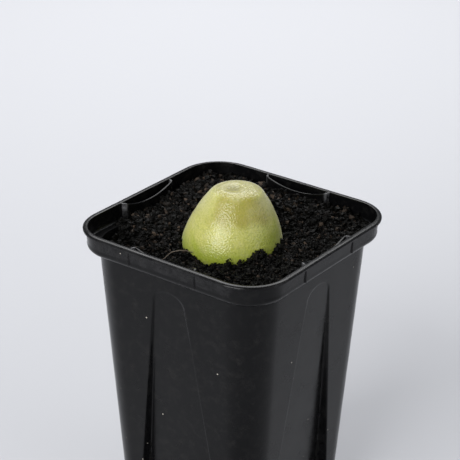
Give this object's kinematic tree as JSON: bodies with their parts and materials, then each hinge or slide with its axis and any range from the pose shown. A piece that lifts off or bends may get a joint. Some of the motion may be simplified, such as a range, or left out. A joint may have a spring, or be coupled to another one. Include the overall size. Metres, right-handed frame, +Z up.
{
  "type": "potted conophytum burgeri",
  "caption": "Square tapered black nursery pot with a collared rim, filled with fine dark potting mix, holding a smooth dome-shaped pale green succulent body.",
  "frame": {"origin": "middle of the plane that the pot's four feet stand on, below the middle of the rim", "axes": "+Z up; X and Y square to the pot's walls, with the picture's left front wall facing -Y and its right front wall facing +X"},
  "size_m": [0.055, 0.055, 0.0887],
  "materials": {
    "pot_plastic": "glossy injection-moulded black polypropylene",
    "potting_mix": "loose fine granules of peat, bark and charcoal",
    "plant_skin": "waxy translucent leaf skin with a fine sparkling texture"
  },
  "bodies": {
    "root": {"pot": "pot_plastic", "potting_mix": "potting_mix", "conophytum_body": "plant_skin"}
  },
  "joints": []
}
